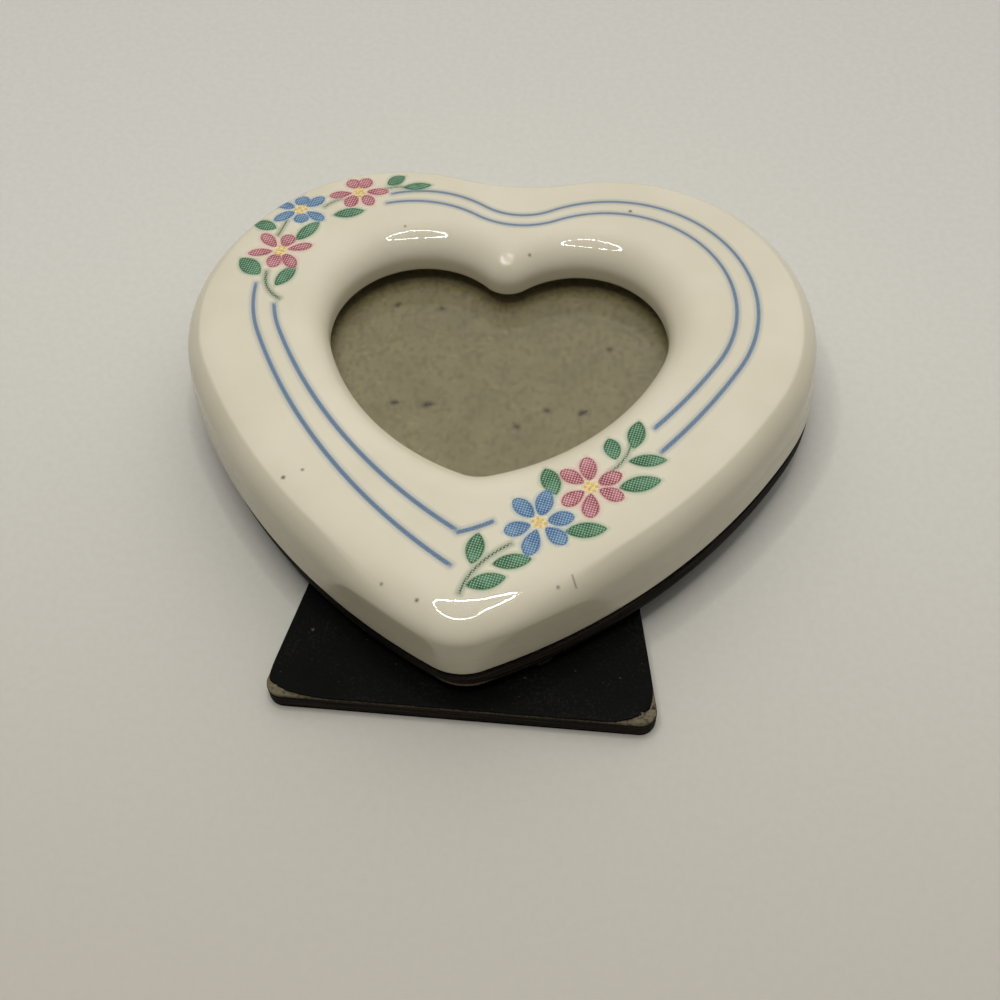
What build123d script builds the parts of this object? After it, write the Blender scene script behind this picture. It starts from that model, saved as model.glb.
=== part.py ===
# Heart shaped photo frame: a glazed ceramic heart with a heart window, on a black papered easel back.
# It lies face up on its folded leg. X runs across the heart, Y from the tip to the lobes, Z out of the face.
# The origin is on the leg's underside, below the middle of the line between the two lobe centres.
import os
from math import acos, atan2, cos, degrees, hypot, radians, sin, sqrt, tan
from typing import NamedTuple

from build123d import *

# Ceramic heart, outer outline
frame_width = 102.0
lobe_spacing = 35.3
flank_radius = 97.2
tip_drop = 59.0
tip_radius = 8.3
notch_radius = 34.8

# Ceramic heart, section
frame_depth = 12.0
face_edge_radius = 5.0
rim_chamfer = 0.6

# Window through the ceramic, at its narrowest
window_width = 54.3
window_lobe_spacing = 26.1
window_lobe_height = -1.0
window_flank_radius = 33.0
window_tip_drop = 29.6
window_tip_radius = 2.0
window_notch_radius = 7.2
lip_depth = 7.2
lip_radius = 5.2
ledge_width = 5.0

# Clear sheet and the card behind it, in the recess behind the lip
sheet_thickness = 2.0
photo_gap = 0.3
recess_clearance = 0.3

# Back board, glued up from board and paper
board_thickness = 3.1
board_inset = 0.7
board_drop = 0.5
paper_thickness = 0.25

# Easel leg
leg_reach = 2.8
leg_bottom_width = 58.4
leg_taper = 11.4
leg_board_thickness = 3.1
leg_corner_radius = 2.5
leg_open_angle = 32.0
stop_clearance = 0.15

# Hinge between the leg and the back board
hinge_drop = 11.35
hinge_width = 16.0
knuckle_count = 3
leaf_length = 12.0
leaf_thickness = 0.4
pin_diameter = 0.8
pin_clearance = 0.03
pin_head_height = 0.4
pin_head_diameter = 1.3
knuckle_end_clearance = 0.15
barrel_clearance = 0.25

# Rivet heads, two on each leaf
rivet_spacing = 9.0
rivet_head_diameter = 3.4
rivet_head_height = 0.5

# Heights of the stack, from the leg's underside to the face of the ceramic
barrel_radius = pin_diameter / 2 + pin_clearance + leaf_thickness
pin_to_paper = barrel_radius + barrel_clearance
leg_core_z = paper_thickness
leg_front_paper_z = leg_core_z + leg_board_thickness
leg_front_z = leg_front_paper_z + paper_thickness
pin_z = leg_front_z + pin_to_paper
lining_z = pin_z + pin_to_paper
board_z = lining_z + paper_thickness
rim_z = board_z + board_thickness
face_z = rim_z + frame_depth
ledge_z = face_z - lip_depth
sheet_z = ledge_z - sheet_thickness
card_thickness = sheet_z - photo_gap - rim_z


class Heart(NamedTuple):
    """A heart of tangent arcs: notch, lobe, flank and tip on each side of the Y axis."""

    lobe_x: float
    lobe_y: float
    lobe_radius: float
    flank_radius: float
    tip_y: float
    tip_radius: float
    notch_radius: float

    def flank_centre(self):
        """Centre of the right flank's arc, which holds the lobe's arc inside it and passes the sharp tip."""
        reach = self.flank_radius - self.lobe_radius
        rise = self.lobe_y - self.tip_y
        span = hypot(self.lobe_x, rise)
        along = (self.flank_radius**2 - reach**2 - span**2) / (2 * reach)
        angle = atan2(rise, self.lobe_x) + acos(along / span)
        return self.lobe_x + reach * cos(angle), self.lobe_y + reach * sin(angle)

    def notch_centre(self):
        """Height on the axis of the notch arc's centre, outside both lobes."""
        return self.lobe_y + sqrt((self.lobe_radius + self.notch_radius) ** 2 - self.lobe_x**2)

    def tip_centre(self):
        """Height on the axis of the tip arc's centre, inside both flanks."""
        x, y = self.flank_centre()
        return y - sqrt((self.flank_radius - self.tip_radius) ** 2 - x**2)

    def grown(self, distance):
        """The parallel heart that lies this far outside, or inside where it is negative."""
        x, y = self.flank_centre()
        flank = self.flank_radius + distance
        return Heart(
            self.lobe_x,
            self.lobe_y,
            self.lobe_radius + distance,
            flank,
            y - sqrt(flank**2 - x**2),
            self.tip_radius + distance,
            self.notch_radius - distance,
        )

    def moved(self, rise):
        """The same heart, further along Y."""
        return self._replace(lobe_y=self.lobe_y + rise, tip_y=self.tip_y + rise)

    def sketch(self, z):
        """The filled heart at height z."""
        x, y = self.flank_centre()
        to_lobe = degrees(atan2(self.lobe_y - self.notch_centre(), self.lobe_x))
        to_flank = degrees(atan2(self.lobe_y - y, self.lobe_x - x))
        to_tip = degrees(atan2(self.tip_centre() - y, -x))
        lobe_turn = (to_lobe + 180 - to_flank) % 360
        flank_turn = (to_flank - to_tip) % 360
        tip_turn = (to_tip + 90) % 360
        start = (0, self.notch_centre() - self.notch_radius)
        with BuildSketch(Plane.XY.offset(z)) as filled:
            with BuildLine():
                notch = JernArc(start, (1, 0), self.notch_radius, to_lobe + 90)
                lobe = JernArc(notch @ 1, notch % 1, self.lobe_radius, -lobe_turn)
                flank = JernArc(lobe @ 1, lobe % 1, self.flank_radius, -flank_turn)
                JernArc(flank @ 1, flank % 1, self.tip_radius, -tip_turn)
                mirror(about=Plane.YZ)
            make_face()
        return filled.sketch


outer_heart = Heart(
    lobe_spacing / 2,
    0,
    (frame_width - lobe_spacing) / 2,
    flank_radius,
    -tip_drop,
    tip_radius,
    notch_radius,
)
window_heart = Heart(
    window_lobe_spacing / 2,
    window_lobe_height,
    (window_width - window_lobe_spacing) / 2,
    window_flank_radius,
    -window_tip_drop,
    window_tip_radius,
    window_notch_radius,
)
recess_heart = window_heart.grown(ledge_width)
insert_heart = recess_heart.grown(-recess_clearance)
board_heart = outer_heart.grown(-board_inset).moved(-board_drop)

# Ceramic body: a slab with soft edges, a window with a rolled lip, and a recess behind the lip
with BuildPart() as ceramic_frame:
    extrude(outer_heart.sketch(rim_z), amount=frame_depth)
    fillet(ceramic_frame.faces().sort_by(Axis.Z)[-1].edges(), face_edge_radius)
    chamfer(ceramic_frame.faces().sort_by(Axis.Z)[0].edges(), rim_chamfer)
    extrude(window_heart.sketch(rim_z), amount=frame_depth, mode=Mode.SUBTRACT)
    fillet(ceramic_frame.faces().sort_by(Axis.Z)[-1].inner_wires()[0].edges(), lip_radius)
    extrude(recess_heart.sketch(rim_z), amount=ledge_z - rim_z, mode=Mode.SUBTRACT)

# Clear sheet against the lip's rear, with the photograph's gap behind it
with BuildPart() as window_sheet:
    extrude(insert_heart.sketch(sheet_z), amount=sheet_thickness)

# Grey card on the back board, which plugs the recess
with BuildPart() as filler_card:
    extrude(insert_heart.sketch(rim_z), amount=card_thickness)

# Leg outline: a trapezoid from just past the tip to just past the pin, whose top end stops the back at its
# open angle. The pin lies a little below the top of the lobes.
hinge_height = outer_heart.lobe_radius - hinge_drop
leg_bottom_drop = leg_reach + outer_heart.tip_radius - outer_heart.tip_centre()
stop_reach = pin_to_paper / tan(radians(leg_open_angle / 2))
leg_length = leg_bottom_drop + hinge_height + stop_reach - stop_clearance


def leg_sketch(z):
    """The leg's outline at height z."""
    with BuildSketch(Plane.XY.offset(z)) as layer:
        with Locations((0, leg_length / 2 - leg_bottom_drop)):
            Trapezoid(leg_bottom_width, leg_length, 90 - leg_taper)
        fillet(layer.vertices(), leg_corner_radius)
    return layer.sketch


# Leg: board between two black papers
with BuildPart() as leg_board:
    extrude(leg_sketch(leg_core_z), amount=leg_board_thickness)

with BuildPart() as leg_front_paper:
    extrude(leg_sketch(leg_front_paper_z), amount=paper_thickness)

with BuildPart() as leg_rear_paper:
    extrude(leg_sketch(0), amount=paper_thickness)

# Back: board with black paper on its rear
with BuildPart() as back_board:
    extrude(board_heart.sketch(board_z), amount=board_thickness)

with BuildPart() as back_lining:
    extrude(board_heart.sketch(lining_z), amount=paper_thickness)

# Hinge: two leaves with interleaved knuckles round one pin
knuckle_pitch = hinge_width / knuckle_count
knuckle_x = [(i + 0.5) * knuckle_pitch - hinge_width / 2 for i in range(knuckle_count)]
plate_gap = barrel_radius + barrel_clearance
barrel_room = 4 * pin_to_paper
knuckle_room = knuckle_pitch + 2 * knuckle_end_clearance
rivet_y = hinge_height - barrel_radius - leaf_length / 2


def hinge_leaf(paper_z, facing, own_knuckles):
    """A leaf riveted to the paper at paper_z: a plate that faces the other leaf, and its bored knuckles."""
    plate_face_z = paper_z + facing * leaf_thickness
    with BuildPart() as leaf:
        with BuildSketch(Plane.XY.offset(paper_z)):
            with Locations((0, hinge_height - leaf_length / 2)):
                Rectangle(hinge_width, leaf_length)
        extrude(amount=facing * leaf_thickness)
        with BuildSketch(Plane.XY.offset(plate_face_z)):
            with Locations((-rivet_spacing / 2, rivet_y), (rivet_spacing / 2, rivet_y)):
                Circle(rivet_head_diameter / 2)
        extrude(amount=facing * rivet_head_height)
        with BuildSketch(Plane.YZ.offset(-hinge_width / 2)):
            with Locations((hinge_height, pin_z)):
                Circle(barrel_radius)
        extrude(amount=hinge_width)
        for i, x in enumerate(knuckle_x):
            if i not in own_knuckles:
                with Locations((x, hinge_height - plate_gap + barrel_room / 2, pin_z)):
                    Box(knuckle_room, barrel_room, barrel_room, mode=Mode.SUBTRACT)
        with BuildSketch(Plane.YZ.offset(-hinge_width / 2)):
            with Locations((hinge_height, pin_z)):
                Circle(pin_diameter / 2 + pin_clearance)
        extrude(amount=hinge_width, mode=Mode.SUBTRACT)
    return leaf


leg_knuckles = range(0, knuckle_count, 2)
back_knuckles = range(1, knuckle_count, 2)

hinge_leg_leaf = hinge_leaf(leg_front_z, 1, leg_knuckles)
hinge_back_leaf = hinge_leaf(lining_z, -1, back_knuckles)

with BuildPart() as hinge_pin:
    with BuildSketch(Plane.YZ.offset(-hinge_width / 2)):
        with Locations((hinge_height, pin_z)):
            Circle(pin_diameter / 2)
    extrude(amount=hinge_width)
    for end in (-hinge_width / 2 - pin_head_height, hinge_width / 2):
        with BuildSketch(Plane.YZ.offset(end)):
            with Locations((hinge_height, pin_z)):
                Circle(pin_head_diameter / 2)
        extrude(amount=pin_head_height)

nodes = {
    "ceramic_frame": ceramic_frame,
    "window_sheet": window_sheet,
    "filler_card": filler_card,
    "back_board": back_board,
    "back_lining": back_lining,
    "hinge_back_leaf": hinge_back_leaf,
    "hinge_leg_leaf": hinge_leg_leaf,
    "hinge_pin": hinge_pin,
    "leg_board": leg_board,
    "leg_front_paper": leg_front_paper,
    "leg_rear_paper": leg_rear_paper,
}

os.makedirs("parts", exist_ok=True)
for name, node in nodes.items():
    node.part.label = name
    export_step(node.part, f"parts/{name}.step")
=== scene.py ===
# Looks of the heart shaped photo frame: a glazed ceramic heart with printed sprays on a black easel back.
# Lengths are in millimetres, in the model's frame, and turn into metres where a mesh is made.
from math import acos, atan2, cos, hypot, pi, radians, sin, sqrt, tan
from typing import NamedTuple

import bmesh
import bpy
import numpy as np
from mathutils import Matrix, Vector
from mathutils.bvhtree import BVHTree


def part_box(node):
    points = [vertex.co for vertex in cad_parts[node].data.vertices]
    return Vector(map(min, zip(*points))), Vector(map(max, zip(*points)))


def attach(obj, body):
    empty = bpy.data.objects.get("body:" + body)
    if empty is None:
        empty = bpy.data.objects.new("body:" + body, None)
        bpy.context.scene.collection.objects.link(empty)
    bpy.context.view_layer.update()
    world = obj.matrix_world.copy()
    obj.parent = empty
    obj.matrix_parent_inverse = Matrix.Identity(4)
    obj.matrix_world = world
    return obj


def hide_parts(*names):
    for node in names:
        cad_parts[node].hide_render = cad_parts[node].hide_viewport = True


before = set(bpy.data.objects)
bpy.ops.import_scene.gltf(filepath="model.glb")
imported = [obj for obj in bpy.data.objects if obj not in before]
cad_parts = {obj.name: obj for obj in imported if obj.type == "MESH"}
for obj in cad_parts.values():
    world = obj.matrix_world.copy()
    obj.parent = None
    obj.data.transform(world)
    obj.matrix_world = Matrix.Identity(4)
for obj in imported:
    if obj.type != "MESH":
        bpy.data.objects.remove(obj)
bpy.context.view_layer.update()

MM = 0.001

# Camera
camera_target = (4.15, -35.78, 21.11)
camera_azimuth = 9.04
camera_elevation = 56.34
camera_roll = -3.59
camera_distance = 200.84
camera_lens = 50.4
sensor_width = 36.0

# Light: a ring of small lamps overhead, a pale ceiling that leans away from the viewer, and a dim room
ring_centre = (-30.0, -45.0, 470.0)
ring_radius = 95.0
ring_lamps = 72
lamp_radius = 3.0
lamp_power = 0.057
lamp_colour = (1.0, 0.985, 0.95)
sky_colour = (1.0, 0.98, 0.94)
ceiling_strength = 1.4
ceiling_lean = (9.0, 36.0)
ceiling_focus = 3.0
room_strength = 0.06
backdrop_strength = 0.3
floor_size = 4000.0
# Painted shade on the table: its colour darkens towards the viewer between these two values of Y
painted_shade_span = (-160.0, 40.0)

# Ceramic heart, as in the solids
frame_width = 102.0
lobe_spacing = 35.3
flank_radius = 97.2
tip_drop = 59.0
tip_radius = 8.3
notch_radius = 34.8
window_width = 54.3
window_lobe_spacing = 26.1
window_lobe_height = -1.0
window_flank_radius = 33.0
window_tip_drop = 29.6
window_tip_radius = 2.0
window_notch_radius = 7.2
ledge_width = 5.0

# The lip's edge as it was formed, and the places where the hand finished heart departs from the solids
lip_turn = -0.5
lip_lobe_x = 12.6
lip_lobe_y = -1.05
lip_lobe_radius = 14.6
lip_flank_radius = 38.2
lip_tip_y = -29.9
lip_tip_radius = 6.5
lip_notch_radius = 5.0
lip_top_notch_radius = 7.6
lip_reach = 6.0
lip_drop = 4.4
lip_undercut = 1.4
flat_spot = (-46.0, 16.0)
flat_spread = 16.0
flat_depth = 0.75
face_drop = 0.11
ripple_height = 0.03
rim_radius = 0.6
sharp_angle = 40.0

# Waves of the glaze's ripple, each as its radians per millimetre along X and Y, and its start
ripple_waves = ((1 / 7.0, 0, 0.6), (1 / 19.0, 1 / 8.5, 0), (1 / 5.6, -1 / 5.6, 0))

# The heart's edge: a quarter roll at the tip, and elsewhere a fall to a crest, a roll and a leaning wall.
# Each fade is the stretch of Y over which one form turns into the other.
edge_reach = 4.8
edge_drop = 5.0
tip_edge_drop = 3.6
tip_drop_fade = (-40.0, -54.0)
face_tip_radius = 10.0
tip_reach = 2.6
tip_spread = 10.0
dome_fade = (-57.0, -44.0)
wall_draft = 0.6

# Arcs of the edge: fall, crest and roll, each with its radius, last tilt in degrees and steps
edge_arcs = ((21.6, 9.0, 5), (1.2, 36.0, 4), (6.0, 85.0, 6))

# Easel back, as in the solids
board_inset = 0.7
board_drop = 0.9
board_shift = 0.4
leg_bottom_width = 58.4
leg_taper = 11.4
leg_corner_radius = 2.5
recess_clearance = 0.3
board_edge = 0.35
paper_edge = 0.1

# Wear: how far the papers stand back, each corner as its depth, width and height, and the bare board
paper_set_back = 0.04
lining_set_back = 0.1
front_wear = 0.12
front_wear_depth = 0.8
left_wear = (1.5, 4.5, 2.4)
right_wear = (2.1, 3.6, 3.4)
leg_bare = (0.35, 0.65)
leg_bare_x = 29.0
leg_bare_width = 6.0
tip_bare_x = 0.7
tip_bare_width = 3.4
tip_bare = 1.6
front_y = -50.0

# Waves of the worn paper's ragged edge, each as its height and its radians per millimetre along X and Y
ragged_waves = ((0.06, 2.9, 1.0), (0.05, 5.3, 0.0))

# Steps round a heart's arcs: notch, lobe, flank and tip
ARC_STEPS = (14, 84, 60, 24)
FACE_STEPS = 24
ROLL_STEPS = 16
SMALL_ROLL_STRIDE = 3
WALL_SHARES = (0.2, 0.5, 0.85)
CORNER_STEPS = 12
INNER_RING = 4
ROUND_SHARE = 0.3
LOWER_SHARE = 1 / 3
BLADE_STEPS = 33
DISC_STEPS = 13
CURVE_STEPS = 17
STROKE_COLUMNS = 9
LEAST_WIDTH = 1e-4

# Printed lines: two hearts, one inside the other, a little off the middle
decal_x = 0.6
decal_y = 2.45
decal_turn = -1.25
line_lobe_x = (17.05, 16.4)
line_lobe_radius = (23.1, 20.4)
line_flank_radius = (96.6, 85.5)
line_tip_drop = (50.3, 44.4)
line_tip_radius = (0.3, 0.8)
line_notch_radius = (11.0, 14.0)
line_width = 0.62
line_thinning = 0.14

# Drawn stretches of the lines, each as its heart, its ends and how far its start sags
line_stretches = (
    (0, (-20.5, 24.4), (26.4, -25.3), 1.1),
    (1, (-21.1, 22.3), (25.4, -21.4), 0.3),
    (0, (-1.7, -47.4), (-39.8, 3.2), 0),
    (1, (-1.4, -41.9), (-35.4, -1.2), 0),
)
line_hook = ((-1.5, -41.7), (1.1, -40.7), (3.7, -39.3))
sag_length = 14.0

# Printed sprays, each flower as its ink, place, reach, turn in degrees and how slim its side petals are
flowers = (
    ("pink", -37.0, 10.2, 5.9, 14, 0.38),
    ("blue", -35.3, 19.7, 5.3, 38, 0.38),
    ("pink", -26.1, 24.4, 5.3, 10, 0.38),
    ("blue", 10.1, -39.1, 5.6, 20, 0.04),
    ("pink", 17.0, -32.4, 5.6, 37, 0.1),
)
petal_count = 6
petal_base = 1.2
petal_width = 2.7
petal_fullness = 1.2
petal_point = 0.55
petal_sway = 5.0
petal_stretch = 0.1
fullness_sway = 0.15
eye_radius = 0.95
eye_dot_radius = 0.22
eye_dot_reach = 0.75
eye_dot_sway = 0.2

# How far the phase of each sway moves on from one petal to the next
petal_sway_step = 3.1
petal_stretch_step = 2.3
eye_dot_sway_step = 2.1

# Leaves, each as its place, turn in degrees, length and width
leaf_point = 0.7
leaves = (
    (-40.7, 15.8, -19, 4.5, 2.4),
    (-33.3, 14.9, 54, 5.6, 2.4),
    (-41.3, 6.4, -39, 5.1, 3.2),
    (-35.1, 4.8, 60, 5.2, 2.5),
    (-27.1, 19.5, 16, 5.3, 2.2),
    (-20.3, 27.7, 41, 3.6, 2.4),
    (-16.5, 26.5, 11, 4.9, 1.8),
    (1.5, -44.1, -95, 5.3, 2.8),
    (6.9, -45.8, 14, 5.7, 2.6),
    (3.6, -49.3, 19, 5.8, 2.7),
    (16.8, -39.8, 10, 6.1, 2.7),
    (11.1, -31.8, -67, 5.3, 3.0),
    (19.6, -25.3, -72, 4.3, 2.6),
    (23.0, -22.5, -96, 5.3, 2.8),
    (24.9, -27.1, 7, 5.7, 2.3),
    (24.0, -31.3, 18, 6.4, 2.8),
)

# Stems, each from one end over a middle point to the other end, with its width
stems = (
    ((-37.1, 17.0), (-37.5, 15.6), (-38.1, 13.4), 0.4),
    ((-38.3, 5.6), (-37.6, 2.2), (-35.0, -0.2), 0.55),
    ((-31.5, 20.5), (-30.2, 21.8), (-28.6, 22.8), 0.3),
    ((-22.1, 25.4), (-20.4, 26.0), (-18.7, 26.1), 0.3),
    ((6.6, -42.8), (2.2, -46.9), (0.1, -51.6), 0.5),
    ((19.5, -29.6), (21.4, -27.2), (22.4, -23.9), 0.4),
)

# Pits in the glaze and flecks in the card, each as its place and radius or length
pits = (
    (19.6, 23.2, 0.22),
    (-17.3, 17.3, 0.12),
    (3.8, 13.1, 0.16),
    (-10.9, -50.6, 0.14),
    (-5.6, -52.8, 0.2),
    (13.6, -49.0, 0.14),
    (-27.9, -34.3, 0.24),
    (-25.3, -32.8, 0.16),
)
flecks = (
    (-15.5, -12.4, 1.3),
    (-10.2, -12.4, 1.6),
    (8.9, -12.1, 1.0),
    (14.5, -12.1, 1.7),
    (4.4, -15.6, 0.9),
    (-17.9, 8.1, 0.6),
    (-10.5, 7.8, 0.5),
    (17.9, 1.1, 0.5),
)

# A fleck's width, its side splinter's length and width, as shares of its length, and their turns in degrees
fleck_width = 0.3
fleck_sway = 40.0
fleck_sway_step = 2.7
fork_length = 0.45
fork_width = 0.2
fork_turn = 55.0
fork_shift = 0.2

# Hairlines in the glaze and scuffs on the leg, each from one end over a middle point to the other end
hairlines = (
    ((15.4, -47.0), (15.7, -47.7), (16.1, -48.4)),
)
hairline_width = 0.05
scuffs = (
    ((10.8, -52.7), (11.9, -52.2), (12.9, -51.4)),
    ((-23.3, -49.9), (-23.2, -49.85), (-23.1, -49.8)),
)
scuff_width = 0.14

# Colours as they look on a screen, 0 to 255
glaze_shades = ((206, 199, 177), (212, 205, 184))
glaze_speck = (184, 173, 146)
bisque_shades = ((198, 188, 166), (226, 219, 202))
# The table near the viewer, darkened as painted shade, and the table far off
table_shaded_and_plain = ((183, 179, 167), (209, 208, 202))
table_grain = (176, 172, 160)
card_shades = ((118, 107, 76), (127, 115, 83))
card_dark_fibre = (88, 78, 53)
card_pale_fibre = (168, 154, 120)
paper_shades = ((2, 2, 2), (30, 30, 27))
paper_dust = (120, 118, 110)
board_shades = ((3, 2, 2), (48, 40, 33))
bare_board_shades = ((52, 46, 32), (142, 132, 108))
nickel_shades = ((150, 146, 138), (204, 200, 192))

# Clear sheet: the light it lets through, the share it mirrors seen straight on, and how that share grows
sheet_tint = (0.97, 0.98, 0.96, 1)
sheet_mirror = 0.02
sheet_mirror_power = 5.0

# Grain of the materials: the size of each pattern's features, and the depth of its relief
glaze_peel_size = 1.1
glaze_peel_depth = 0.006
glaze_shine_size = 9.0
glaze_cloud_size = 14.0
glaze_speck_size = 0.9
bisque_grain_size = 0.35
bisque_grain_depth = 0.05
ink_tone_size = 1.6
table_grain_size = 1.2
sheet_dust_size = 2.5
card_cloud_size = 5.0
card_dark_fibre_size = 0.7
card_pale_fibre_size = 0.6
card_fibre_depth = 0.08
paper_grain_size = 0.5
paper_grain_depth = 0.05
paper_patch_size = 12.0
paper_dust_size = 0.6
board_layer_size = 0.45
board_fibre_size = 0.5
board_grain_depth = 0.08
nickel_wear_size = 0.8
nickel_brush_size = 0.3
nickel_brush_depth = 0.01

# Gloss: the glaze's index of refraction, and each roughness as one value or a span
glaze_ior = 1.5
glaze_roughness = (0.004, 0.014)
bisque_roughness = 0.85
ink_roughness = 0.8
table_roughness = 0.9
sheet_roughness = (0.0, 0.04)
card_roughness = 0.9
paper_roughness = (0.5, 0.75)
board_roughness = 0.8
nickel_roughness = (0.25, 0.45)

# Glaze on the wall, which grows duller from below the face to just above the rim
dull_wall = 0.3
dull_rise = 2.0
gloss_drop = 1.2

# Ink: how far it runs past its drawn edge, its soft and its darker edge, and its lift over the glaze
bleed = 0.75
ink_softness = 0.28
ink_edge = (0.15, 0.5)
ink_lift = 0.012
lift_step = 0.0008

# Inks, each with its material, deep and pale colour, cover, halo and how open its dots are
inks = {
    "lines": ("line_blue", (80, 106, 136), (104, 136, 170), 0.93, 0.26, 0.0),
    "stems": ("stem_green", (20, 76, 48), (56, 110, 78), 0.95, 0.28, 0.7),
    "leaves": ("leaf_green", (0, 70, 36), (132, 178, 146), 0.95, 0.28, 0.0),
    "pink": ("petal_pink", (130, 40, 62), (224, 174, 178), 0.95, 0.28, 0.0),
    "blue": ("petal_blue", (42, 86, 134), (144, 176, 198), 0.95, 0.28, 0.0),
    "eyes": ("eye_yellow", (236, 216, 150), (244, 234, 194), 0.85, 0.08, 0.0),
    "eye_dots": ("eye_ochre", (188, 146, 50), (206, 168, 76), 0.85, 0.04, 0.0),
    "pits": ("pit_brown", (52, 42, 30), (84, 70, 50), 0.9, 0.0, 0.0),
}
splinter_ink = ("splinter_brown", (28, 15, 4), (60, 42, 20), 0.97, 0.25, 0.0)
scuff_ink = ("scuff_grey", (96, 95, 90), (130, 128, 122), 0.8, 0.0, 0.0)
dot_spacing = 0.4
dot_turn = 12.0


class Heart(NamedTuple):
    """A heart of tangent arcs: notch, lobe, flank and tip on each side of the Y axis."""

    lobe_x: float
    lobe_y: float
    lobe_radius: float
    flank_radius: float
    tip_y: float
    tip_radius: float
    notch_radius: float

    def arcs(self, inset=0.0):
        """Centre, radius, first and last angle and outward side of the right half's arcs, set in."""
        reach = self.flank_radius - self.lobe_radius
        rise = self.lobe_y - self.tip_y
        span = hypot(self.lobe_x, rise)
        along = (self.flank_radius**2 - reach**2 - span**2) / (2 * reach)
        turn = atan2(rise, self.lobe_x) + acos(along / span)
        flank_x = self.lobe_x + reach * cos(turn)
        flank_y = self.lobe_y + reach * sin(turn)
        notch_y = self.lobe_y + sqrt((self.lobe_radius + self.notch_radius) ** 2 - self.lobe_x**2)
        tip_y = flank_y - sqrt((self.flank_radius - inset - self.tip_radius) ** 2 - flank_x**2)
        to_lobe = atan2(self.lobe_y - notch_y, self.lobe_x)
        to_flank = atan2(self.lobe_y - flank_y, self.lobe_x - flank_x)
        to_tip = atan2(tip_y - flank_y, -flank_x)
        return (
            ((0, notch_y), self.notch_radius + inset, -pi / 2, to_lobe, -1),
            ((self.lobe_x, self.lobe_y), self.lobe_radius - inset, to_lobe + pi, to_flank, 1),
            ((flank_x, flank_y), self.flank_radius - inset, to_flank, to_tip, 1),
            ((0, tip_y), self.tip_radius, to_tip, -pi / 2, 1),
        )

    def outline(self, inset=0.0):
        """Points round the heart from the notch, the right half first, and its outward normals."""
        arcs = self.arcs(inset)
        points, normals = [], []
        for (centre, radius, first, last, side), steps in zip(arcs, ARC_STEPS):
            angles = np.linspace(first, last, steps, endpoint=False)
            rays = np.stack([np.cos(angles), np.sin(angles)], 1)
            points.append(np.array(centre) + radius * rays)
            normals.append(side * rays)
        (_, tip_y), radius = arcs[-1][:2]
        points = np.concatenate([*points, [(0, tip_y - radius)]])
        normals = np.concatenate([*normals, [(0, -1)]])
        flip = np.array((-1, 1))
        mirrored = slice(-2, 0, -1)
        return tuple(np.concatenate([half, half[mirrored] * flip]) for half in (points, normals))


outer_heart = Heart(
    lobe_spacing / 2,
    0,
    (frame_width - lobe_spacing) / 2,
    flank_radius,
    -tip_drop,
    tip_radius,
    notch_radius,
)
window_heart = Heart(
    window_lobe_spacing / 2,
    window_lobe_height,
    (window_width - window_lobe_spacing) / 2,
    window_flank_radius,
    -window_tip_drop,
    window_tip_radius,
    window_notch_radius,
)
lip_heart = Heart(
    lip_lobe_x,
    lip_lobe_y,
    lip_lobe_radius,
    lip_flank_radius,
    lip_tip_y,
    lip_tip_radius,
    lip_notch_radius,
)
line_hearts = [
    Heart(lobe_x, 0, lobe_radius, flank, -tip, rounding, notch)
    for lobe_x, lobe_radius, flank, tip, rounding, notch in zip(
        line_lobe_x, line_lobe_radius, line_flank_radius, line_tip_drop, line_tip_radius, line_notch_radius
    )
]

# Heights of the stack, from the solids
rim_z, face_z = (corner.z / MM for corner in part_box("ceramic_frame"))
ledge_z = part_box("window_sheet")[1].z / MM


def linear(red, green, blue):
    """A colour given as it looks on a screen, 0 to 255, in the linear values that shaders take."""
    values = np.array((red, green, blue)) / 255
    low = values / 12.92
    high = ((values + 0.055) / 1.055) ** 2.4
    return (*np.where(values <= 0.04045, low, high), 1.0)


def make_piece(name, points, faces, material, body):
    """A smooth mesh piece from points in millimetres, which rides on a body."""
    mesh = bpy.data.meshes.new(name)
    mesh.from_pydata((np.asarray(points) * MM).tolist(), [], faces)
    mesh.polygons.foreach_set("use_smooth", [True] * len(mesh.polygons))
    mesh.materials.append(material)
    mesh.update()
    piece = bpy.data.objects.new(name, mesh)
    bpy.context.scene.collection.objects.link(piece)
    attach(piece, body)
    return piece


def face_outward(mesh):
    """Turn the faces of a closed mesh outward."""
    shape = bmesh.new()
    shape.from_mesh(mesh)
    bmesh.ops.recalc_face_normals(shape, faces=shape.faces)
    shape.to_mesh(mesh)
    shape.free()


def add_attribute(piece, name, values):
    """A number for each vertex, which materials can read."""
    attribute = piece.data.attributes.new(name, "FLOAT", "POINT")
    attribute.data.foreach_set("value", np.asarray(values, np.float32))


def loop_faces(rows, columns, closed_rows):
    """Quads of a grid that is closed along its columns, and along its rows where asked."""
    faces = []
    for i in range(rows if closed_rows else rows - 1):
        for j in range(columns):
            k = (j + 1) % columns
            n = (i + 1) % rows
            faces.append((i * columns + j, i * columns + k, n * columns + k, n * columns + j))
    return faces


class Nodes:
    """A node tree, and short ways to add and join its nodes."""

    def __init__(self, tree):
        self.tree = tree

    def node(self, kind, inputs=None, **settings):
        """A node with its settings, whose inputs are plain values or other nodes' outputs."""
        made = self.tree.nodes.new(kind)
        for name, value in settings.items():
            setattr(made, name, value)
        for name, value in (inputs or {}).items():
            if isinstance(value, bpy.types.NodeSocket):
                self.tree.links.new(value, made.inputs[name])
            else:
                made.inputs[name].default_value = value
        return made

    def math(self, operation, *inputs):
        """A sum, product or other function of values or other nodes' outputs."""
        return self.node("ShaderNodeMath", dict(enumerate(inputs)), operation=operation).outputs[0]


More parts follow.
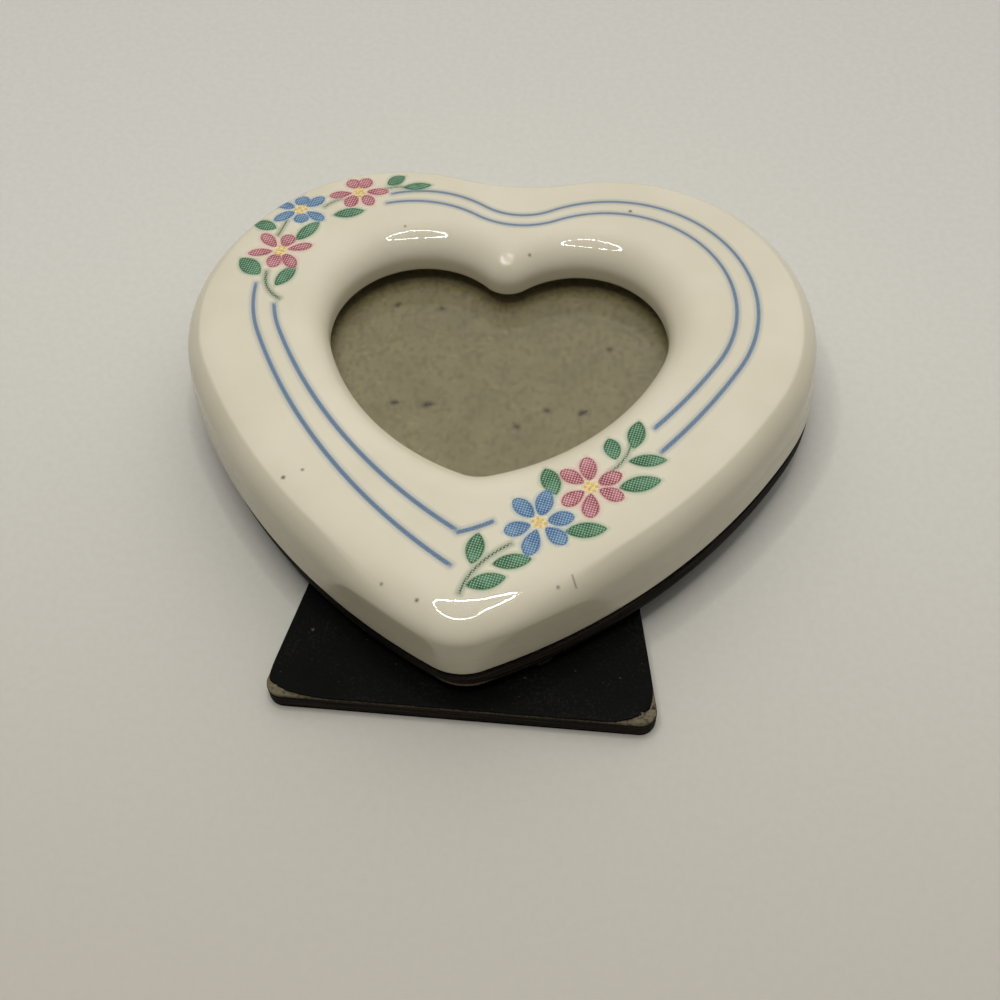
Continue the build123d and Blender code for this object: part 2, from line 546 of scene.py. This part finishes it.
class Shader(Nodes):
    """A new material with its Principled node."""

    def __init__(self, name, **settings):
        self.material = bpy.data.materials.new(name)
        self.material.use_nodes = True
        super().__init__(self.material.node_tree)
        self.principled = self.tree.nodes["Principled BSDF"]
        coordinates = self.node("ShaderNodeTexCoord").outputs
        self.place = coordinates["Object"]
        self.outward = coordinates["Normal"]
        for socket, value in settings.items():
            self.principled.inputs[socket.replace("_", " ")].default_value = value

    def set(self, socket, source):
        """Join a node's output to the Principled node."""
        self.tree.links.new(source, self.principled.inputs[socket])

    def ramp(self, value, low, high, to_low=0.0, to_high=1.0):
        """A smooth step of the value from low to high."""
        inputs = {"Value": value, 1: low, 2: high, 3: to_low, 4: to_high}
        return self.node("ShaderNodeMapRange", inputs, interpolation_type="SMOOTHSTEP").outputs["Result"]

    def mix(self, factor, first, second):
        """A blend of two colours, each as it looks on a screen or another node's output."""
        first, second = (linear(*side) if isinstance(side, tuple) else side for side in (first, second))
        inputs = {"Factor": factor, 6: first, 7: second}
        return self.node("ShaderNodeMix", inputs, data_type="RGBA").outputs[2]

    def stretched(self, scale=(1, 1, 1), turn=0.0):
        """Object coordinates, scaled and turned about Z."""
        inputs = {"Vector": self.place, "Scale": scale, "Rotation": (0, 0, radians(turn))}
        return self.node("ShaderNodeMapping", inputs).outputs["Vector"]

    def noise(self, size, detail=3.0, vector=None):
        """Noise with features of about this size in millimetres."""
        inputs = {"Vector": vector or self.place, "Scale": 1 / (size * MM), "Detail": detail}
        return self.node("ShaderNodeTexNoise", inputs).outputs["Fac"]

    def attribute(self, name):
        """A number that the mesh keeps for each vertex."""
        return self.node("ShaderNodeAttribute", attribute_name=name).outputs["Fac"]

    def bump(self, height, distance, strength=1.0):
        """Relief of this depth in millimetres."""
        inputs = {"Height": height, "Distance": distance * MM, "Strength": strength}
        self.set("Normal", self.node("ShaderNodeBump", inputs).outputs["Normal"])


def glaze_gloss(shader):
    """The gloss of the glaze: a faint orange peel, and a shine that differs from place to place."""
    shader.bump(shader.noise(glaze_peel_size, detail=1.0), glaze_peel_depth)
    smooth = shader.ramp(shader.noise(glaze_shine_size, detail=1.0), 0.2, 0.8, *glaze_roughness)
    height = shader.node("ShaderNodeSeparateXYZ", {0: shader.place}).outputs["Z"]
    dull = shader.ramp(height, (rim_z + dull_rise) * MM, (face_z - gloss_drop) * MM, dull_wall, 0.0)
    shader.set("Roughness", shader.math("ADD", smooth, dull))


def glaze_material():
    """Ivory glaze, a little cloudy, with faint specks."""
    shader = Shader("ivory_glaze", IOR=glaze_ior)
    cloud = shader.ramp(shader.noise(glaze_cloud_size), low=0.3, high=0.7)
    shade = shader.mix(cloud, *glaze_shades)
    speck = shader.ramp(shader.noise(glaze_speck_size, detail=5.0), low=0.68, high=0.78, to_high=0.25)
    shader.set("Base Color", shader.mix(speck, shade, glaze_speck))
    glaze_gloss(shader)
    return shader.material


def bisque_material():
    """Bare, grainy ceramic."""
    shader = Shader("bare_ceramic", Roughness=bisque_roughness)
    grain = shader.noise(bisque_grain_size, detail=4.0)
    shader.set("Base Color", shader.mix(grain, *bisque_shades))
    shader.bump(grain, bisque_grain_depth)
    return shader.material


def ink_material(name, deep, pale, cover, halo, gaps, glossy=True):
    """Ink printed under the glaze: a soft edge, a faint halo, and a screen of small dots."""
    shader = Shader(name, IOR=glaze_ior, Roughness=ink_roughness, Specular_IOR_Level=0.2)
    rim = shader.attribute("rim")
    along = shader.attribute("along")
    grid = shader.stretched((2 * pi / (dot_spacing * MM),) * 3, dot_turn)
    axes = shader.node("ShaderNodeSeparateXYZ", {0: grid}).outputs
    waves = shader.math("ADD", shader.math("SINE", axes["X"]), shader.math("SINE", axes["Y"]))
    dots = shader.ramp(waves, low=-1.5, high=0.3, to_high=0.7)
    fade = shader.ramp(along, low=0.0, high=1.1, to_low=0.75, to_high=0.3)
    tone = shader.math("MULTIPLY", shader.noise(ink_tone_size, detail=2.0), fade)
    edge = shader.ramp(rim, *(bleed + inner for inner in ink_edge), to_low=0.35, to_high=0.0)
    depth = shader.math("ADD", shader.math("ADD", dots, tone), edge)
    inside = shader.ramp(rim, bleed - ink_softness, bleed + ink_softness)
    shade = shader.math("MULTIPLY", shader.ramp(depth, low=0.2, high=1.2), inside)
    shader.set("Base Color", shader.mix(shade, pale, deep))
    solid = shader.math("MULTIPLY", inside, cover)
    dotted = shader.math("MULTIPLY", solid, shader.ramp(waves, low=-1.2, high=0.4, to_low=1 - gaps))
    spilled = shader.ramp(rim, low=0.0, high=bleed, to_high=halo)
    shader.set("Alpha", shader.math("MAXIMUM", dotted, spilled))
    if glossy:
        glaze_gloss(shader)
    return shader.material


def turned(points, degrees):
    """Points of the plane, turned about the origin."""
    turn = radians(degrees)
    return points @ np.array(((cos(turn), sin(turn)), (-sin(turn), cos(turn))))


def smooth_step(value, start, end):
    """A smooth rise from 0 at the start to 1 at the end, which may be the lower one."""
    share = np.clip((value - start) / (end - start), 0, 1)
    return share**2 * (3 - 2 * share)


def ripple(x, y):
    """How far the hand finished glaze dips below the face."""
    waves = [np.sin(along_x * x + along_y * y + start) for along_x, along_y, start in ripple_waves]
    return face_drop + ripple_height * (1 - np.mean(waves, axis=0)) / 2


def dome_profile():
    """Reach and drop of the face's fall to its crest, of the crest and of the roll under it."""
    tilts, radii = [0.0], []
    for radius, last, steps in edge_arcs:
        tilts.extend(np.linspace(tilts[-1], radians(last), steps + 1)[1:])
        radii.extend([radius] * steps)
    reach = np.cumsum(radii * np.diff(np.sin(tilts)))
    drop = np.cumsum(radii * -np.diff(np.cos(tilts)))
    return np.append(0, reach), np.append(0, drop)


def lip_lines():
    """The lip's edge, its outward normals, and the line on the face where its roll starts."""
    edge, edge_normal = (turned(side, lip_turn) for side in lip_heart.outline())
    top_heart = lip_heart._replace(notch_radius=lip_top_notch_radius)
    top, top_normal = (turned(side, lip_turn) for side in top_heart.outline())
    return edge, edge_normal, top + lip_reach * top_normal


def outer_lines(dome_reach):
    """The outline, its normals, the line on the face where its edge starts, and how far it has a crest."""
    outer, normal = outer_heart.outline()
    near_flat = np.linalg.norm(outer - np.array(flat_spot), axis=1) / flat_spread
    flat = (flat_depth * np.exp(-(near_flat**2)))[:, None] * normal
    outer -= flat
    domed = smooth_step(outer[:, 1], *dome_fade)
    top = outer_heart._replace(tip_radius=face_tip_radius).outline(edge_reach)[0]
    top[:, 1] += tip_reach * np.exp(-((outer[:, 0] / tip_spread) ** 2)) * (outer[:, 1] < 0)
    top -= flat + ((dome_reach - edge_reach) * domed)[:, None] * normal
    return outer, normal, top, domed


def ceramic_rings():
    """Rings of the ceramic's section, from the recess over the lip, face and edge to the rear rim."""
    recess, recess_normal = window_heart.outline()
    lip, lip_normal, lip_top = lip_lines()
    dome_steps, dome_drops = dome_profile()
    dome_reach = dome_steps[-1] + wall_draft
    outer, outer_normal, edge_top, domed = outer_lines(dome_reach)
    drop = edge_drop + (tip_edge_drop - edge_drop) * smooth_step(outer[:, 1], *tip_drop_fade)
    quarter = np.linspace(0, pi / 2, ROLL_STEPS)
    small_quarter = quarter[::SMALL_ROLL_STRIDE]
    rings = []

    def add(points, z):
        share = np.maximum(z - ledge_z, 0) / (face_z - ledge_z)
        rings.append(np.column_stack([points, z - share * ripple(points[:, 0], points[:, 1])]))

    for offset, z in ((rim_radius, rim_z), (0, rim_z + rim_radius), (0, ledge_z)):
        add(recess + (ledge_width + offset) * recess_normal, z)
    for angle in small_quarter:
        undercut = lip_undercut * (1 - sin(angle))
        add(lip + undercut * lip_normal, ledge_z + lip_undercut * (1 - cos(angle)))
    for angle in quarter[::-1]:
        add(lip_top + sin(angle) * (lip - lip_top), face_z - lip_drop * (1 - cos(angle)))
    for share in np.linspace(0, 1, FACE_STEPS)[1:-1]:
        add(lip_top + share * (edge_top - lip_top), face_z)
    for angle, reach, fall in zip(quarter, dome_steps, dome_drops):
        share = sin(angle) + (reach / dome_reach - sin(angle)) * domed
        depth = drop * (1 - cos(angle))
        add(edge_top + share[:, None] * (outer - edge_top), face_z - depth - (fall - depth) * domed)
    wall, wall_z = rings[-1][:, :2], rings[-1][:, 2]
    for share in WALL_SHARES:
        rings.append(np.column_stack([wall + share * (outer - wall), wall_z + share * (rim_z - wall_z)]))
    for angle in small_quarter:
        add(outer - rim_radius * (1 - cos(angle)) * outer_normal, rim_z + rim_radius * (1 - sin(angle)))
    return rings


def make_ceramic():
    """The glazed heart, bare on its rear and in its recess."""
    rings = ceramic_rings()
    count = len(rings[0])
    faces = loop_faces(len(rings), count, True)
    piece = make_piece("glazed_heart", np.concatenate(rings), faces, glaze_material(), "front")
    piece.data.materials.append(bisque_material())
    bare_rows = (0, 1, 2, len(rings) - 1)
    for row in bare_rows:
        for polygon in piece.data.polygons[row * count:(row + 1) * count]:
            polygon.material_index = 1
    face_outward(piece.data)
    piece.data.set_sharp_from_angle(angle=radians(sharp_angle))
    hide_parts("ceramic_frame")
    return piece


class Print:
    """Flat shapes of one ink, gathered into one mesh that lies on the surface of a given height."""

    layers = 0

    def __init__(self, height):
        self.height = height
        self.points, self.faces, self.rim, self.along = [], [], [], []

    def add_grid(self, grid, rim, along):
        """A grid of points on the surface, each shape a little higher than the one before."""
        rows, columns = grid.shape[:2]
        first = len(self.points)
        lift = ink_lift + lift_step * Print.layers
        Print.layers += 1
        for x, y in grid.reshape(-1, 2):
            self.points.append((x, y, self.height(x, y) + lift))
        for i in range(rows - 1):
            for j in range(columns - 1):
                corner = first + i * columns + j
                self.faces.append((corner, corner + columns, corner + columns + 1, corner + 1))
        self.rim.extend(rim.ravel())
        self.along.extend(along.ravel())

    def add_ribbon(self, path, half_width):
        """A stroke along a path, as wide at each point as half_width says, plus its bleed."""
        ahead = np.gradient(path, axis=0)
        ahead /= np.linalg.norm(ahead, axis=1, keepdims=True)
        side = np.stack([-ahead[:, 1], ahead[:, 0]], 1)
        across = np.linspace(-1, 1, STROKE_COLUMNS)
        grid = path[:, None, :] + across[None, :, None] * (half_width[:, None, None] * side[:, None, :])
        steps = np.linalg.norm(np.diff(path, axis=0), axis=1)
        run = np.concatenate([[0], np.cumsum(steps)])
        to_end = np.minimum(run, run[-1] - run)
        rim = np.minimum((1 - abs(across))[None, :] * half_width[:, None], to_end[:, None])
        along = np.repeat((run / run[-1])[:, None], STROKE_COLUMNS, 1)
        self.add_grid(grid, rim, along)

    def add_stroke(self, path, width):
        """A line of one width, or of a width for each point, that bleeds past its ends."""
        half_width = np.full(len(path), bleed) + np.asarray(width) / 2
        pairs = (path[:2], path[:-3:-1])
        ends = [end + bleed * (end - inner) / np.linalg.norm(end - inner) for end, inner in pairs]
        self.add_ribbon(np.vstack([ends[0], path, ends[1]]), np.pad(half_width, 1, mode="edge"))

    def add_blade(self, x, y, turn, length, width, fullness=1.0, point=leaf_point):
        """A petal or leaf about its middle point, widest nearer its far end as fullness grows."""
        reach = np.linspace(-bleed, length + bleed, BLADE_STEPS)
        share = np.clip(reach / length, 0, 1)
        beyond = np.maximum(np.maximum(-reach, reach - length), 0)
        spread = np.sqrt(np.maximum(bleed**2 - beyond**2, LEAST_WIDTH**2))
        half_width = width / 2 * np.maximum(np.sin(pi * share**fullness), 0) ** point
        ahead = np.array((cos(radians(turn)), sin(radians(turn))))
        path = np.array((x, y)) + (reach - length / 2)[:, None] * ahead
        self.add_ribbon(path, half_width + spread)

    def add_disc(self, x, y, radius):
        """A round spot."""
        reach = np.linspace(-1, 1, DISC_STEPS) * (radius + bleed)
        path = np.array((x, y)) + reach[:, None] * np.array((1, 0))
        half_width = np.sqrt(np.maximum((radius + bleed) ** 2 - reach**2, LEAST_WIDTH**2))
        self.add_ribbon(path, half_width)

    def make(self, name, material, body, slot):
        """The finished piece, which casts no shadow of its own."""
        piece = make_piece(name, self.points, self.faces, material, body)
        add_attribute(piece, "rim", self.rim)
        add_attribute(piece, "along", self.along)
        piece.visible_shadow = False


def line_path(heart, start, end, sag):
    """The stretch of a printed heart line between two points near it, whose start may sag."""
    points = turned(heart.outline()[0], decal_turn) + np.array((decal_x, decal_y))
    first, last = (int(np.argmin(np.linalg.norm(points - spot, axis=1))) for spot in (start, end))
    if last < first:
        points = np.roll(points, -first, axis=0)
        last, first = last - first + len(points), 0
    path = points[first:last + 1]
    steps = np.linalg.norm(np.diff(path, axis=0), axis=1)
    run = np.concatenate([[0], np.cumsum(steps)])
    path[:, 1] -= sag * np.clip(1 - run / sag_length, 0, 1) ** 2
    return path


def curve_path(start, middle, end):
    """A bend from start to end that passes the middle point."""
    start, middle, end = (np.array(spot) for spot in (start, middle, end))
    control = 2 * middle - (start + end) / 2
    share = np.linspace(0, 1, CURVE_STEPS)[:, None]
    return (1 - share) ** 2 * start + 2 * share * (1 - share) * control + share**2 * end


def draw_flower(prints, ink, x, y, reach, turn, slim):
    """Petals that differ a little, those across the slim direction narrower or shorter, and a dotted eye."""
    for i in range(petal_count):
        angle = turn + 360 / petal_count * i + petal_sway * sin(petal_sway_step * i + x)
        sideways = cos(radians(angle)) ** 2
        size = 1 - slim * (1 - sideways)
        stretch = 1 + petal_stretch * sin(petal_stretch_step * i + y)
        length = (reach - petal_base) * size * stretch
        middle = petal_base * size + length / 2
        spot_x = x + middle * cos(radians(angle))
        spot_y = y + middle * sin(radians(angle))
        width = petal_width * (1 - slim * sideways)
        fullness = petal_fullness + fullness_sway * sin(i + x)
        prints[ink].add_blade(spot_x, spot_y, angle, length, width, fullness, petal_point)
    prints["eyes"].add_disc(x, y, eye_radius)
    for i in range(petal_count):
        angle = radians(turn + 360 / petal_count * (i + 0.5))
        spread = eye_radius * (eye_dot_reach + eye_dot_sway * sin(eye_dot_sway_step * i + x))
        prints["eye_dots"].add_disc(x + spread * cos(angle), y + spread * sin(angle), eye_dot_radius)


def make_prints(ceramic):
    """The printed lines, sprays and flowers on the face, and the pits in its glaze."""
    points = [vertex.co for vertex in ceramic.data.vertices]
    glaze = BVHTree.FromPolygons(points, [tuple(polygon.vertices) for polygon in ceramic.data.polygons])

    def glaze_height(x, y):
        return glaze.ray_cast(Vector((x * MM, y * MM, 1)), Vector((0, 0, -1)))[0].z / MM

    prints = {name: Print(glaze_height) for name in inks}
    for i, start, end, sag in line_stretches:
        path = line_path(line_hearts[i], start, end, sag)
        width = line_width - line_thinning * np.clip(path[:, 1] / line_lobe_radius[i], -1, 1)
        prints["lines"].add_stroke(path, width)
    prints["lines"].add_stroke(curve_path(*line_hook), line_width + line_thinning)
    for x, y, radius in pits:
        prints["pits"].add_disc(x, y, radius)
    for line in hairlines:
        prints["pits"].add_stroke(curve_path(*line), hairline_width)
    for start, middle, end, width in stems:
        prints["stems"].add_stroke(curve_path(start, middle, end), width)
    for x, y, turn, length, width in leaves:
        prints["leaves"].add_blade(x, y, turn, length, width)
    for flower in flowers:
        draw_flower(prints, *flower)
    for name, ink in inks.items():
        prints[name].make("print_" + name, ink_material(*ink), "front", "glaze")


def make_camera():
    """The photograph's view."""
    azimuth, elevation, roll = (radians(a) for a in (camera_azimuth, camera_elevation, camera_roll))
    back = Vector((sin(azimuth) * cos(elevation), -cos(azimuth) * cos(elevation), sin(elevation)))
    level = Vector((0, 0, 1)).cross(back).normalized()
    upright = back.cross(level)
    across = cos(roll) * level + sin(roll) * upright
    up = cos(roll) * upright - sin(roll) * level
    data = bpy.data.cameras.new("camera")
    data.lens = camera_lens
    data.sensor_width = sensor_width
    camera = bpy.data.objects.new("camera", data)
    place = (Vector(camera_target) + camera_distance * back) * MM
    camera.matrix_world = Matrix((across, up, back)).transposed().to_4x4()
    camera.location = place
    bpy.context.scene.collection.objects.link(camera)
    bpy.context.scene.camera = camera


def make_lamps():
    """A ring of small lamps overhead."""
    for i in range(ring_lamps):
        angle = 2 * pi * i / ring_lamps
        data = bpy.data.lights.new(f"lamp_{i}", "POINT")
        data.energy = lamp_power
        data.color = lamp_colour
        data.shadow_soft_size = lamp_radius * MM
        lamp = bpy.data.objects.new(f"lamp_{i}", data)
        around = Vector((cos(angle), sin(angle), 0)) * ring_radius
        lamp.location = (Vector(ring_centre) + around) * MM
        bpy.context.scene.collection.objects.link(lamp)


def make_sky():
    """A pale ceiling in a dim room, with a paler backdrop for the camera, gloss and glass."""
    world = bpy.data.worlds.new("sky")
    world.use_nodes = True
    sky = Nodes(world.node_tree)
    lean_x, lean_y = (tan(radians(lean)) for lean in ceiling_lean)
    ceiling = Vector((lean_x, lean_y, 1)).normalized()
    ray = sky.node("ShaderNodeTexCoord").outputs["Generated"]
    toward = sky.node("ShaderNodeVectorMath", {0: ray, 1: ceiling}, operation="DOT_PRODUCT").outputs["Value"]
    focus = sky.math("POWER", sky.math("MAXIMUM", toward, 0.0), ceiling_focus)
    light = sky.math("MULTIPLY_ADD", focus, ceiling_strength, room_strength)
    path = sky.node("ShaderNodeLightPath").outputs
    seen = sky.math("ADD", path["Is Camera Ray"], path["Is Glossy Ray"])
    seen = sky.math("ADD", seen, path["Is Transmission Ray"])
    strength = sky.math("MAXIMUM", light, sky.math("MULTIPLY", seen, backdrop_strength))
    background = sky.tree.nodes["Background"].inputs
    background["Color"].default_value = (*sky_colour, 1)
    sky.tree.links.new(strength, background["Strength"])
    bpy.context.scene.world = world


def make_floor():
    """A pale table, with painted shade that makes it darker towards the viewer."""
    shader = Shader("pale_table", Roughness=table_roughness, Specular_IOR_Level=0.15)
    axes = shader.node("ShaderNodeSeparateXYZ", {0: shader.place}).outputs
    # Painted shade: the table's colour darkens towards the viewer
    fade = shader.ramp(axes["Y"], *(y * MM for y in painted_shade_span))
    shade = shader.mix(fade, *table_shaded_and_plain)
    grain = shader.ramp(shader.noise(table_grain_size, detail=4.0), low=0.3, high=0.7, to_high=0.12)
    shader.set("Base Color", shader.mix(grain, shade, table_grain))
    half = floor_size / 2
    corners = [(-half, -half, 0), (half, -half, 0), (half, half, 0), (-half, half, 0)]
    mesh = bpy.data.meshes.new("floor")
    mesh.from_pydata((np.array(corners) * MM).tolist(), [], [(0, 1, 2, 3)])
    mesh.materials.append(shader.material)
    floor = bpy.data.objects.new("floor", mesh)
    bpy.context.scene.collection.objects.link(floor)


def dress(node, material):
    """A better material on a CAD node."""
    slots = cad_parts[node].data.materials
    slots.clear()
    slots.append(material)


def clear_material():
    """A clear sheet, which mirrors more the flatter it is seen, with a little dust on it."""
    shader = Shader("clear_sheet")
    facing = shader.node("ShaderNodeLayerWeight", {"Blend": 0.5}).outputs["Facing"]
    grazing = shader.math("POWER", facing, sheet_mirror_power)
    mirror = shader.math("MULTIPLY_ADD", grazing, 1 - sheet_mirror, sheet_mirror)
    haze = shader.ramp(shader.noise(sheet_dust_size, detail=4.0), 0.5, 0.9, *sheet_roughness)
    through = shader.node("ShaderNodeBsdfTransparent", {"Color": sheet_tint}).outputs[0]
    gloss = shader.node("ShaderNodeBsdfGlossy", {"Color": (1, 1, 1, 1), "Roughness": haze}).outputs[0]
    both = shader.node("ShaderNodeMixShader", {0: mirror, 1: through, 2: gloss}).outputs[0]
    shader.tree.links.new(both, shader.tree.nodes["Material Output"].inputs["Surface"])
    shader.tree.nodes.remove(shader.principled)
    return shader.material


def card_material():
    """Grey-brown chipboard with dark and pale fibres that lie across each other."""
    shader = Shader("grey_chipboard", Roughness=card_roughness)
    cloud = shader.noise(card_cloud_size, detail=4.0)
    shade = shader.mix(shader.ramp(cloud, low=0.35, high=0.65), *card_shades)
    fibres = shader.noise(card_dark_fibre_size, 6.0, shader.stretched((1, 0.7, 1), turn=20))
    dark = shader.ramp(fibres, low=0.45, high=0.68, to_high=0.5)
    mottle = shader.mix(dark, shade, card_dark_fibre)
    streaks = shader.noise(card_pale_fibre_size, 4.0, shader.stretched((0.4, 1, 1), turn=-30))
    pale = shader.ramp(streaks, low=0.58, high=0.74, to_high=0.3)
    shader.set("Base Color", shader.mix(pale, mottle, card_pale_fibre))
    shader.bump(fibres, card_fibre_depth)
    return shader.material


def paper_material():
    """Black satin paper with a leathery grain and some dust."""
    shader = Shader("black_paper", Specular_IOR_Level=0.06)
    grain = shader.noise(paper_grain_size, detail=5.0)
    patches = shader.ramp(shader.noise(paper_patch_size, detail=2.0), low=0.35, high=0.7, to_low=0.25)
    rubbed = shader.math("MULTIPLY", shader.ramp(grain, low=0.42, high=0.72), patches)
    shade = shader.mix(rubbed, *paper_shades)
    dust = shader.ramp(shader.noise(paper_dust_size, detail=2.0), low=0.7, high=0.78, to_high=0.25)
    shader.set("Base Color", shader.mix(dust, shade, paper_dust))
    shader.set("Roughness", shader.ramp(grain, 0.3, 0.7, *paper_roughness))
    shader.bump(grain, paper_grain_depth)
    return shader.material


def board_material():
    """Dark stained board in thin layers, bare and pale where it is worn."""
    shader = Shader("layered_board", Roughness=board_roughness, Specular_IOR_Level=0.1)
    layers = shader.noise(board_layer_size, 3.0, shader.stretched((0.03, 0.03, 1)))
    fibres = shader.noise(board_fibre_size, detail=5.0)
    upward = shader.node("ShaderNodeSeparateXYZ", {0: shader.outward}).outputs["Z"]
    on_edge = shader.ramp(shader.math("ABSOLUTE", upward), low=0.5, high=0.9, to_low=1.0, to_high=0.25)
    streaks = shader.math("MULTIPLY", shader.ramp(layers, low=0.42, high=0.68), on_edge)
    grain = shader.ramp(fibres, low=0.4, high=0.7, to_high=0.35)
    stain = shader.mix(shader.math("ADD", streaks, grain), *board_shades)
    bare = shader.mix(fibres, *bare_board_shades)
    patchy = shader.ramp(fibres, low=0.3, high=0.5, to_low=0.55)
    worn = shader.math("MULTIPLY", shader.attribute("worn"), patchy)
    shader.set("Base Color", shader.mix(worn, stain, bare))
    shader.bump(shader.math("ADD", layers, fibres), board_grain_depth)
    return shader.material


def nickel_material():
    """Dulled nickel plate."""
    shader = Shader("dull_nickel", Metallic=1.0)
    wear = shader.noise(nickel_wear_size, detail=5.0)
    shader.set("Base Color", shader.mix(wear, *nickel_shades))
    shader.set("Roughness", shader.ramp(wear, 0.3, 0.7, *nickel_roughness))
    brushed = shader.noise(nickel_brush_size, 3.0, shader.stretched((0.05, 1, 1)))
    shader.bump(brushed, nickel_brush_depth)
    return shader.material


def rounded_outline(corners, radius):
    """Points about a millimetre apart round a clockwise convex outline, and their outward normals."""
    corners = np.array(corners, float)
    points, normals = [], []
    for before, here, after in zip(np.roll(corners, 1, 0), corners, np.roll(corners, -1, 0)):
        inward, outward = (here - before), (after - here)
        first, last = (atan2(side[0], -side[1]) for side in (inward, outward))
        turn = (first - last) % (2 * pi)
        middle = first - turn / 2
        centre = here - radius / cos(turn / 2) * np.array((cos(middle), sin(middle)))
        angles = np.linspace(first, first - turn, CORNER_STEPS)
        rays = np.stack([np.cos(angles), np.sin(angles)], 1)
        points.extend(centre + radius * rays)
        normals.extend(rays)
        run = np.linalg.norm(outward) - 2 * radius * tan(turn / 2)
        shares = np.arange(1, int(run)) / int(run)
        points.extend(points[-1] + shares[:, None] * run * outward / np.linalg.norm(outward))
        normals.extend(np.repeat(rays[-1:], len(shares), 0))
    return np.array(points), np.array(normals)


def make_slab(name, node, outline, edge, material, body, set_back=0.0, worn=None):
    """A flat piece with soft edges, between the lower and upper face of the node it replaces."""
    points, normals = outline
    low, high = (corner.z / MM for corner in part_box(node))
    inner = INNER_RING * edge
    round_off = ROUND_SHARE * edge
    steps = (
        (inner, low),
        (edge, low),
        (round_off, low + round_off),
        (0, low + edge),
        (0, low + (high - low) * LOWER_SHARE),
        (0, high - edge),
        (round_off, high - round_off),
        (edge, high),
        (inner, high),
    )
    count = len(points)
    set_back = np.broadcast_to(set_back, count)
    rings = []
    for inset, z in steps:
        edge_points = points - (set_back + inset)[:, None] * normals
        rings.append(np.column_stack([edge_points, np.full(count, z)]))
    faces = loop_faces(len(rings), count, False)
    faces.append(tuple(range(count)))
    faces.append(tuple(range((len(rings) - 1) * count, len(rings) * count)))
    stack = np.concatenate(rings)
    piece = make_piece(name, stack, faces, material, body)
    face_outward(piece.data)
    if worn:
        add_attribute(piece, "worn", worn(stack, low, high))
    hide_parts(node)


def leg_paper_wear(points):
    """How far the leg's front paper has worn back from each point of the edge, most at its two corners."""
    x, y = points.T
    rise = y - y.min()
    ragged = sum(height * np.sin(along_x * x + along_y * y) for height, along_x, along_y in ragged_waves)
    front = np.exp(-((rise / front_wear_depth) ** 2)) * (front_wear + ragged / 2)
    corners = 0
    for away, (depth, width, height) in ((x - x.min(), left_wear), (x.max() - x, right_wear)):
        corners = corners + depth * np.exp(-((away / width) ** 2) - (rise / height) ** 2)
    return paper_set_back + front + corners * (1 + ragged)


def leg_core_worn(stack, low, high):
    """The leg's board is bare under its front paper's edge, most at the two front corners."""
    x, y, z = stack.T
    corner = np.exp(-(((leg_bare_x - abs(x)) / leg_bare_width) ** 2)) * (y < front_y)
    return (z > high - board_edge / 2) * (leg_bare[0] + leg_bare[1] * corner)


def back_core_worn(stack, low, high):
    """The back board is bare on its lower edge at the tip."""
    x, y, z = stack.T
    at_tip = np.exp(-(((x - tip_bare_x) / tip_bare_width) ** 4)) * (y < front_y)
    return tip_bare * at_tip * (z < low + 2 * board_edge)


def leg_outline():
    """The leg's tapered outline, from the box of its board."""
    low, high = (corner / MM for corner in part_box("leg_board"))
    half = leg_bottom_width / 2
    top_half = half - (high.y - low.y) * tan(radians(leg_taper))
    corners = ((-top_half, high.y), (top_half, high.y), (half, low.y), (-half, low.y))
    return rounded_outline(corners, leg_corner_radius)


def back_outline():
    """The back board's outline, a little inside the ceramic's and shifted."""
    heart = outer_heart._replace(tip_radius=tip_radius - board_inset)
    points, normals = heart.outline(board_inset)
    return points + np.array((board_shift, -board_drop)), normals


def card_outline():
    """The card's outline, which fills the recess behind the window."""
    growth = ledge_width - recess_clearance
    return window_heart._replace(tip_radius=window_tip_radius + growth).outline(-growth)


def make_back():
    """The card, boards and papers, and the better materials of the sheet and hinge."""
    paper = paper_material()
    board = board_material()
    nickel = nickel_material()
    dress("window_sheet", clear_material())
    for node in ("hinge_back_leaf", "hinge_leg_leaf", "hinge_pin"):
        dress(node, nickel)
    leg, back, card = leg_outline(), back_outline(), card_outline()

    def make_paper(name, node, outline, body, set_back):
        make_slab(name, node, outline, paper_edge, paper, body, set_back)

    make_slab("leg_core", "leg_board", leg, board_edge, board, "leg", worn=leg_core_worn)
    make_paper("leg_cover", "leg_front_paper", leg, "leg", leg_paper_wear(leg[0]))
    make_paper("leg_base_cover", "leg_rear_paper", leg, "leg", paper_set_back)
    make_slab("back_core", "back_board", back, board_edge, board, "back", worn=back_core_worn)
    make_paper("back_cover", "back_lining", back, "back", lining_set_back)
    make_slab("chipboard", "filler_card", card, board_edge, card_material(), "back")


def make_flecks():
    """Dark splinters in the card."""
    card_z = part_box("filler_card")[1].z / MM
    specks = Print(lambda x, y: card_z)
    for i, (x, y, length) in enumerate(flecks):
        turn = fleck_sway * sin(fleck_sway_step * i)
        specks.add_blade(x, y, turn, length, fleck_width * length)
        fork = (fork_length * length, fork_width * length)
        specks.add_blade(x - fork_shift * length, y, turn + fork_turn, *fork)
    specks.make("card_flecks", ink_material(*splinter_ink, glossy=False), "back", "grey_card")


def make_scuffs():
    """Pale scuffs on the leg's paper."""
    paper_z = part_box("leg_front_paper")[1].z / MM
    marks = Print(lambda x, y: paper_z)
    for line in scuffs:
        marks.add_stroke(curve_path(*line), scuff_width)
    marks.make("leg_scuffs", ink_material(*scuff_ink, glossy=False), "leg", "black_paper")


make_camera()
make_lamps()
make_sky()
make_floor()
make_prints(make_ceramic())
make_back()
make_flecks()
make_scuffs()

bpy.context.scene.view_settings.view_transform = "Standard"
